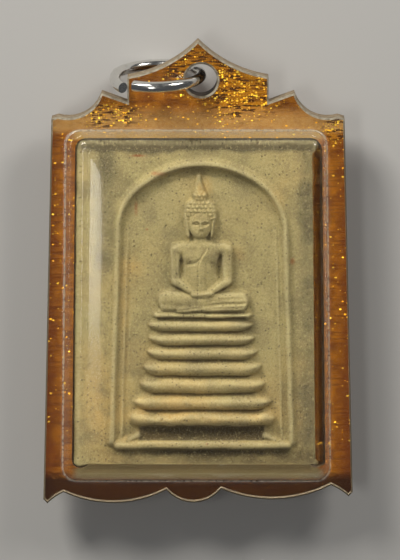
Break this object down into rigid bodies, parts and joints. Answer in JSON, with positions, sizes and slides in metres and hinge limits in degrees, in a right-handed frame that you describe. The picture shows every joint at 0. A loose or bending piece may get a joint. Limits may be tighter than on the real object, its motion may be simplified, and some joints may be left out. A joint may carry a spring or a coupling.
{
  "type": "votive tablet pendant",
  "caption": "Pressed plaster tablet with a raised seated figure under an arch, sealed in a crested acrylic casing with a raised clear window and an open wire ring.",
  "frame": {"origin": "middle of the lying pendant's outline, on the surface that its back tray rests on", "axes": "+X right, +Y from the foot to the crest's peak, +Z out of the tablet's face"},
  "size_m": [0.03, 0.0452, 0.0094],
  "materials": {
    "plaster": "matt, pressed and stained lime plaster",
    "clear_acrylic": "polished clear acrylic",
    "amber_acrylic": "amber acrylic laced with gold threads",
    "amber_back": "polished amber acrylic",
    "ring_wire": "worn steel wire"
  },
  "bodies": {
    "root": {"plaster_tablet": "plaster", "front_sheet": "clear_acrylic", "amber_frame": "amber_acrylic", "back_sheet": "amber_back", "hanging_ring": "ring_wire"}
  },
  "joints": []
}
